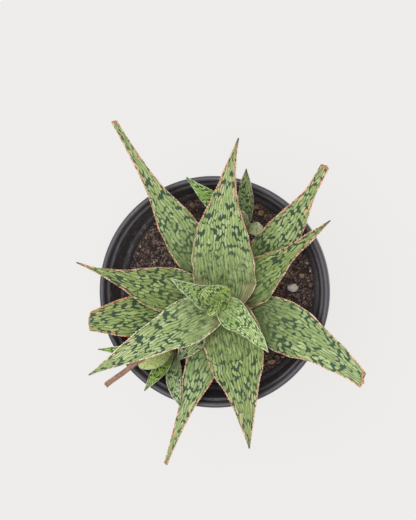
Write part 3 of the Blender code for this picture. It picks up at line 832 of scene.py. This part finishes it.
# Potting mix
SOIL_TOP = 68.0
SOIL_UNEVEN = 0.7
SOIL_WAVE = 9.0
SOIL_RIPPLE = 5.5
SOIL_RADIUS = 46.6
SOIL_RINGS = 112
SOIL_SEGMENTS = 440
# The plug's sides and foot, as (radius, height)
SOIL_FOOT = ((45.9, 64.0), (37.6, 4.2), (36.6, 2.8))
# Crumbs in the top, in two sizes: how wide, how high and how deep their middles lie
LUMP = (2.6, 0.9, 0.35)
CRUMB = (1.15, 0.45, 0.4)
CRUMB_SHIFT = (9, 4, 1)
GRAIN_WIDTH = 1.4
GRAIN_HEIGHT = 0.28
CRUMB_DROP = 0.1

PEAT_DARK = (0.015, 0.010, 0.011)
PEAT = (0.096, 0.060, 0.054)
PEAT_CRUMB = (0.270, 0.180, 0.145)
SPECK_TAN = (0.44, 0.28, 0.17)
SPECK_PALE = (0.64, 0.58, 0.50)


def soil_height(x, y):
    broad = math.sin(x / SOIL_WAVE) * math.cos(y / SOIL_WAVE)
    fine = math.sin((x - y) / SOIL_RIPPLE)
    return SOIL_TOP + SOIL_UNEVEN * (broad + 0.5 * fine)


def crumbled(x, y):
    """Height of the mix with its crumbs."""
    here = Vector((x, y, 0.0))
    lump = LUMP[2] - noise.voronoi(here / LUMP[0])[0][0]
    crumb = CRUMB[2] - noise.voronoi(here / CRUMB[0] + Vector(CRUMB_SHIFT))[0][0]
    grain = noise.fractal(here / GRAIN_WIDTH, 1.0, 2.0, 4)
    return soil_height(x, y) + LUMP[1] * lump + CRUMB[1] * crumb + GRAIN_HEIGHT * grain - CRUMB_DROP


def soil_material():
    """Dark peat with brown crumbs, and small tan and pale specks in it."""
    g = Graph("potting_mix_look")
    place = g.place()
    coarse = g.noise(place, 0.5, 4.0, 0.65)
    fine = g.noise(place, 2.4, 3.0, 0.7)
    crumb, crumb_chance = g.cells(place, 1.3)
    speck, speck_chance = g.cells(place, 1.9)
    colour = g.mix(g.range(coarse, 0.36, 0.66), PEAT_DARK, PEAT)
    colour = g.mix(g.range(crumb_chance[0], 0.55, 0.9, 0.0, 0.95), colour, PEAT_CRUMB)
    specks = g.times(g.range(speck, 0.22, 0.34, 1.0, 0.0), g.range(speck_chance[0], 0.82, 0.86))
    colour = g.mix(specks, colour, g.mix(g.range(speck_chance[1], 0.3, 0.8), SPECK_TAN, SPECK_PALE))
    height = g.plus(fine, g.times(crumb, -0.8))
    return g.finish(colour, g.range(fine, 0.3, 0.7, 0.75, 0.95), height, 0.35, 0.8)


def make_soil():
    """The plug of mix, with a crumbly top."""
    solid = bmesh.new()
    rings = [ring_of(solid, SOIL_RADIUS * ring / SOIL_RINGS, crumbled, SOIL_SEGMENTS)
             for ring in range(SOIL_RINGS + 1)]
    rings += [ring_of(solid, radius, level(height), SOIL_SEGMENTS) for radius, height in SOIL_FOOT]
    bridge(solid, rings)
    solid.faces.new(rings[-1])
    bmesh.ops.recalc_face_normals(solid, faces=solid.faces)
    mesh = mesh_of(solid, "potting_mix_crumbs")
    mesh.materials.append(soil_material())
    mesh.shade_smooth()
    piece = add_piece("potting_mix_crumbs", mesh)
    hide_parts("potting_mix")
    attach(piece, "root")


# How dark the painted shade in the pores of stones and bark is, against their darker colour
PORE_SHADE = 0.45


def bit_material(name, low, high, roughness):
    """A rough stone or piece of bark, between two colours, with painted shade in its pores."""
    g = Graph(name)
    place = g.place()
    broad = g.noise(place, 0.45, 2.0, 0.6)
    fine = g.noise(place, 3.2, 3.0, 0.7)
    colour = g.mix(g.range(broad, 0.35, 0.65), low, high)
    # Darker where the relief is low: painted shade in the pores
    colour = g.mix(g.range(fine, 0.30, 0.7, 0.45, 0.0), colour, tuple(c * PORE_SHADE for c in low))
    return g.finish(colour, roughness, fine, 0.2, 0.7)


# Loose bits: share of all, smallest and largest size, flatness, dark and light colour
Bits = namedtuple("Bits", "share small large flat low high")
BITS = {
    "dark_bark": Bits(0.34, 1.2, 3.4, 0.45, (0.034, 0.02, 0.017), (0.11, 0.066, 0.05)),
    "brown_bark": Bits(0.24, 0.9, 2.6, 0.45, (0.15, 0.088, 0.062), (0.28, 0.17, 0.115)),
    "tan_grit": Bits(0.24, 0.6, 1.7, 0.75, (0.36, 0.23, 0.14), (0.62, 0.46, 0.31)),
    "white_grit": Bits(0.18, 0.5, 1.4, 0.85, (0.56, 0.52, 0.48), (0.82, 0.79, 0.74)),
}
BIT_COUNT = 1500
BIT_SUNK = 0.12
BIT_ROUGH = 0.22
BIT_TILT = 0.6
BIT_WIDTHS = (0.55, 0.9)
BIT_HEIGHTS = (0.6, 1.1)
BIT_CLEARANCE = 0.6
BIT_ROUGHNESS = 0.85
# Larger bits in places of their own: kind, x, y, size
NOTED_BITS = (
    ("tan_grit", 33.3, 7.9, 2.6), ("tan_grit", 18.1, 40.9, 3.2),
    ("tan_grit", 22.4, 36.4, 2.2), ("tan_grit", -13.9, 41.7, 3.4), ("tan_grit", -33.2, 12.9, 2.2),
    ("white_grit", 43.2, 13.3, 1.6), ("white_grit", 44.5, 9.4, 1.3), ("white_grit", 24.9, -4.9, 1.8),
    ("white_grit", -40.2, 20.9, 1.3), ("white_grit", -41.5, 17.6, 1.2), ("tan_grit", -37.3, 25.3, 1.4),
    ("tan_grit", -32.7, 32.4, 1.4), ("tan_grit", 31.2, -33, 2), ("white_grit", 13.1, -43, 1.2),
)


def add_bit(solid, rng, kind, x, y, size):
    """One rough lump, half sunk in the mix."""
    stretch = Vector((1.0, rng.uniform(*BIT_WIDTHS), BITS[kind].flat * rng.uniform(*BIT_HEIGHTS)))
    spin = Matrix.Rotation(rng.uniform(0, TURN), 3, "Z")
    spin = spin @ Matrix.Rotation(rng.uniform(-BIT_TILT, BIT_TILT), 3, "X")
    made = bmesh.ops.create_icosphere(solid, subdivisions=1, radius=0.5)
    lift = Vector((x, y, crumbled(x, y) + size * BIT_SUNK))
    for vertex in made["verts"]:
        rough = 1 + rng.uniform(-BIT_ROUGH, BIT_ROUGH)
        shape = Vector([value * by for value, by in zip(vertex.co, stretch)]) * size * rough
        vertex.co = (spin @ shape + lift) * MM
    for face in {f for v in made["verts"] for f in v.link_faces}:
        face.material_index = list(BITS).index(kind)


def make_bits():
    rng = random.Random("bits")
    solid = bmesh.new()
    for kind, x, y, size in NOTED_BITS:
        add_bit(solid, rng, kind, x, y, size)
    for _ in range(BIT_COUNT):
        kind = rng.choices(list(BITS), [bits.share for bits in BITS.values()])[0]
        bits = BITS[kind]
        size = bits.small + (bits.large - bits.small) * rng.random() ** 2
        radius = (SOIL_RADIUS - BIT_CLEARANCE - size / 2) * math.sqrt(rng.random())
        angle = rng.uniform(0, 2 * math.pi)
        add_bit(solid, rng, kind, radius * math.cos(angle), radius * math.sin(angle), size)
    mesh = mesh_of(solid, "loose_bits")
    for kind, bits in BITS.items():
        mesh.materials.append(bit_material(kind + "_look", bits.low, bits.high, BIT_ROUGHNESS))
    piece = add_piece("loose_bits", mesh)
    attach(piece, "root")


# Larger lumps: a place of their own in the noise that roughens them, and length, width and height
LUMPS = {
    "perlite_lump": (36.4, 1.2, 6.2, 4.2, 3.6),
    "bark_chip_1": (25.7, -35.4, 4.4, 3, 2.4),
    "bark_chip_2": (20.5, 38, 3.4, 3, 2.2),
    "bark_chip_3": (40.7, 7, 3, 2.6, 2),
}
PERLITE = ((0.80, 0.71, 0.60), (0.94, 0.88, 0.79))
BARK = ((0.33, 0.19, 0.10), (0.55, 0.37, 0.22))
LUMP_SWELL = 0.22
LUMP_PITS = 0.10


def lump_mesh(name, seat, length, width, height, shift):
    """A rough, pitted lump about its seat, which is in metres."""
    solid = bmesh.new()
    bmesh.ops.create_icosphere(solid, subdivisions=4, radius=0.5)
    for vertex in solid.verts:
        shape = vertex.co.copy()
        swell = 1 + LUMP_SWELL * noise.fractal(shape * 2.2 + shift, 1.0, 2.0, 4) - LUMP_PITS
        swell += LUMP_PITS * (noise.voronoi(shape * 4 + shift)[0][0] - 0.4)
        shape = Vector((shape.x * length, shape.y * width, shape.z * height)) * swell
        vertex.co = seat + shape * MM
    return mesh_of(solid, name)


def make_lumps():
    white = bit_material("perlite_look", *PERLITE, 0.8)
    tan = bit_material("bark_chip_look", *BARK, 0.85)
    for name, (x, y, length, width, height) in LUMPS.items():
        is_white = name.startswith("perlite")
        low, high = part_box(name)
        mesh = lump_mesh(name + "_rough", (low + high) / 2, length, width, height, Vector((x, y, length)))
        mesh.materials.append(white if is_white else tan)
        mesh.shade_smooth()
        piece = add_piece(name + "_rough", mesh)
        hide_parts(name)
        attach(piece, "root")


# Dried flower stalk
STALK_LINE = ((-5.2, -8.7, 81.2), (-13.3, -13.4, 87.6), (-29.3, -28.5, 95.0), (-51.3, -45.0, 100.0))
STALK_RADIUS = 1.22
STALK_STEP = 0.5
STALK_SIDES = 24
STALK_SMOOTHINGS = 12
STALK_CREASE = 60.0
# Two long grooves: depth, angle and width
STALK_GROOVES = ((0.38, 1.9, 0.34), (0.3, 4.4, 0.4))
STALK_WAVES = 0.05
STALK_FLAT = (1.05, 0.9)
STALK_DARK = (0.17, 0.070, 0.045)
STALK_PALE = (0.52, 0.29, 0.21)
STALK_WORN = (0.56, 0.38, 0.27)
# Steps of the torn end, how far its fibres stand out and how far they all fall back
TORN_STEPS = 6
TORN_FIBRES = 1.5
TORN_BACK = 0.6


def stalk_material():
    """Dry red-brown fibres with paler patches."""
    g = Graph("dry_stalk_look")
    along, around = g.uv("stalk")
    fibre = g.noise_on(along, 0.22, around, 9.0, 3.0, 0.65)
    patch = g.noise_on(along, 0.5, around, 2.0)
    colour = g.mix(g.range(fibre, 0.35, 0.65), STALK_DARK, STALK_PALE)
    colour = g.mix(g.range(patch, 0.45, 0.7, 0.0, 0.6), colour, STALK_WORN)
    return g.finish(colour, 0.75, fibre, 0.25, 0.8)


def stalk_line():
    """Places along the stalk in short steps, with its bends made soft."""
    points = [Vector(p) for p in STALK_LINE]
    line = []
    for low, high in zip(points, points[1:]):
        steps = max(2, int((high - low).length / STALK_STEP))
        line += [low.lerp(high, k / steps) for k in range(steps)]
    line.append(points[-1])
    for _ in range(STALK_SMOOTHINGS):
        inner = [(a + 2 * b + c) / 4 for a, b, c in zip(line, line[1:], line[2:])]
        line = [line[0], *inner, line[-1]]
    return line


def stalk_radius(angle, step, share):
    """The stalk's grooved, uneven radius, a little wider at its torn end."""
    form = 1.0
    for depth, middle, width in STALK_GROOVES:
        form = form - depth * math.exp(-((angle - middle) / width) ** 2)
    form += STALK_WAVES * math.sin(5 * angle + 3 * share) + STALK_WAVES * math.sin(step / 5 + angle)
    return STALK_RADIUS * form * (1.06 - 0.1 * share + 0.10 * step_up(share, 0.93, 1.0))


def make_stalk():
    """A shrunken, grooved stalk with a torn end."""
    line = stalk_line()
    total = len(line) - 1
    verts, uvs = [], []
    for step, here in enumerate(line):
        ahead = (line[min(step + 1, total)] - line[max(step - 1, 0)]).normalized()
        side = Vector(UP).cross(ahead).normalized()
        over = ahead.cross(side)
        end_share = max(0, step - total + TORN_STEPS) / TORN_STEPS
        for k in range(STALK_SIDES):
            angle = 2 * math.pi * k / STALK_SIDES
            torn = end_share * (TORN_FIBRES * noise.noise(Vector((k * 0.9, 3, 1))) - TORN_BACK)
            spoke = side * math.cos(angle) * STALK_FLAT[0] + over * math.sin(angle) * STALK_FLAT[1]
            spot = here + spoke * stalk_radius(angle, step, step / total) + ahead * torn
            verts.append(spot * MM)
            uvs.append((step * STALK_STEP, TURN * k / STALK_SIDES))
    mesh = bpy.data.meshes.new("flower_stalk_dry")
    mesh.from_pydata(verts, [], tube_faces(len(line), STALK_SIDES))
    layer = mesh.uv_layers.new(name="stalk")
    for loop in mesh.loops:
        layer.data[loop.index].uv = uvs[loop.vertex_index]
    outward(mesh)
    smooth(mesh, STALK_CREASE)
    mesh.materials.append(stalk_material())
    piece = add_piece("flower_stalk_dry", mesh)
    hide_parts("flower_stalk")
    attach(piece, "root")


# Stems, which keep the shape of their solids
STEM_GREEN = (0.30, 0.36, 0.17)
STEM_RING = (0.20, 0.17, 0.09)
STEM_BARK = (0.30, 0.24, 0.13)
ROOT_BROWN = (0.24, 0.15, 0.085)
HEART_PALE = (0.42, 0.54, 0.20)
# Dark streaks and darker gaps of the heart: painted shade in its folds
HEART_DARK = (0.080, 0.130, 0.012)
HEART_GAP_SHADE = (0.035, 0.075, 0.015)


def stem_material():
    """Brown skin below, green above, and the mottled young green of the heart at the top, whose dark
    streaks and gaps are painted shade in the heart's folds.
    """
    g = Graph("stem_skin_look")
    place = g.place()
    z = g.parts(place)[2]
    rough = g.noise(place, 0.9, 4.0, 0.6)
    rings = g.noise(g.join(0.0, 0.0, z), 1.1, 3.0, 0.6)
    colour = g.mix(g.range(rings, 0.35, 0.65), STEM_GREEN, STEM_RING)
    colour = g.mix(g.range(rough, 0.4, 0.7), colour, STEM_BARK)
    colour = g.mix(g.range(z, 71.0, 66.0), colour, ROOT_BROWN)
    drawn_out = g.node("VectorMath", {0: place, 1: (1.5, 0.5, 1.0)}, operation="MULTIPLY").outputs[0]
    heart = g.noise(drawn_out, 0.9, 3.0, 0.7)
    young = g.mix(g.range(heart, 0.36, 0.62), HEART_DARK, HEART_PALE)
    # Darker gaps: painted shade between the young leaves
    young = g.mix(g.range(rough, 0.52, 0.60), young, HEART_GAP_SHADE)
    colour = g.mix(g.range(z, 84.0, 88.0), colour, young)
    return g.finish(colour, 0.7, g.plus(rough, rings), 0.4, 0.8)


def dress_stems():
    skin = stem_material()
    for name in ("main_stem", "offset_a_stem", "offset_b_stem"):
        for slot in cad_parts[name].material_slots:
            slot.material = skin


# Stage
CAMERA_PLACE = (116.7, 46.9, 882.2)
CAMERA_AIM = (-2.41, 15.49, 92.0)
CAMERA_LENS = 115.38
# Nearest and farthest distance that the camera sees, and half the floor's side, in metres
CAMERA_REACH = (0.01, 20.0)
FLOOR_HALF = 6.0
FLOOR_COLOUR = (0.08, 0.0792, 0.0778)
FLOOR_GLOW = (0.766, 0.758, 0.744)
SKY_COLOUR = (1.0, 0.995, 0.985)
SKY_STRENGTH = 0.62
KEY_FROM = (-0.10, 0.12, 1.0)
KEY_SPREAD = 60.0
KEY_STRENGTH = 1.75


def make_camera():
    camera = bpy.data.cameras.new("camera")
    camera.lens = CAMERA_LENS
    camera.clip_start, camera.clip_end = CAMERA_REACH
    place, aim = Vector(CAMERA_PLACE) * MM, Vector(CAMERA_AIM) * MM
    ahead = (aim - place).normalized()
    right = ahead.cross(Vector((0, 1, 0))).normalized()
    up = right.cross(ahead)
    item = add_piece("camera", camera)
    item.matrix_world = Matrix.Translation(place) @ Matrix((right, up, -ahead)).transposed().to_4x4()
    bpy.context.scene.camera = item


def make_floor():
    """A pale, even floor, which glows a little so that it has almost no shadow on it."""
    mesh = bpy.data.meshes.new("floor")
    corners = [(x * FLOOR_HALF, y * FLOOR_HALF, 0) for x, y in ((-1, -1), (1, -1), (1, 1), (-1, 1))]
    mesh.from_pydata(corners, [], [(0, 1, 2, 3)])
    g = Graph("floor_look")
    g.shader.inputs["Specular IOR Level"].default_value = 0.0
    g.shader.inputs["Emission Color"].default_value = (*FLOOR_GLOW, 1.0)
    g.shader.inputs["Emission Strength"].default_value = 1.0
    mesh.materials.append(g.finish(FLOOR_COLOUR, 0.9))
    add_piece("floor", mesh)


def make_light():
    world = bpy.data.worlds.new("studio")
    world.use_nodes = True
    sky = world.node_tree.nodes["Background"]
    sky.inputs["Color"].default_value = (*SKY_COLOUR, 1.0)
    sky.inputs["Strength"].default_value = SKY_STRENGTH
    bpy.context.scene.world = world
    lamp = bpy.data.lights.new("key", "SUN")
    lamp.angle = math.radians(KEY_SPREAD)
    lamp.energy = KEY_STRENGTH
    add_piece("key", lamp).rotation_euler = (-Vector(KEY_FROM)).to_track_quat("-Z", "Y").to_euler()
    bpy.context.scene.view_settings.view_transform = "Standard"


def main():
    make_leaves()
    make_pot()
    make_soil()
    make_bits()
    make_lumps()
    make_stalk()
    dress_stems()
    make_camera()
    make_floor()
    make_light()


main()
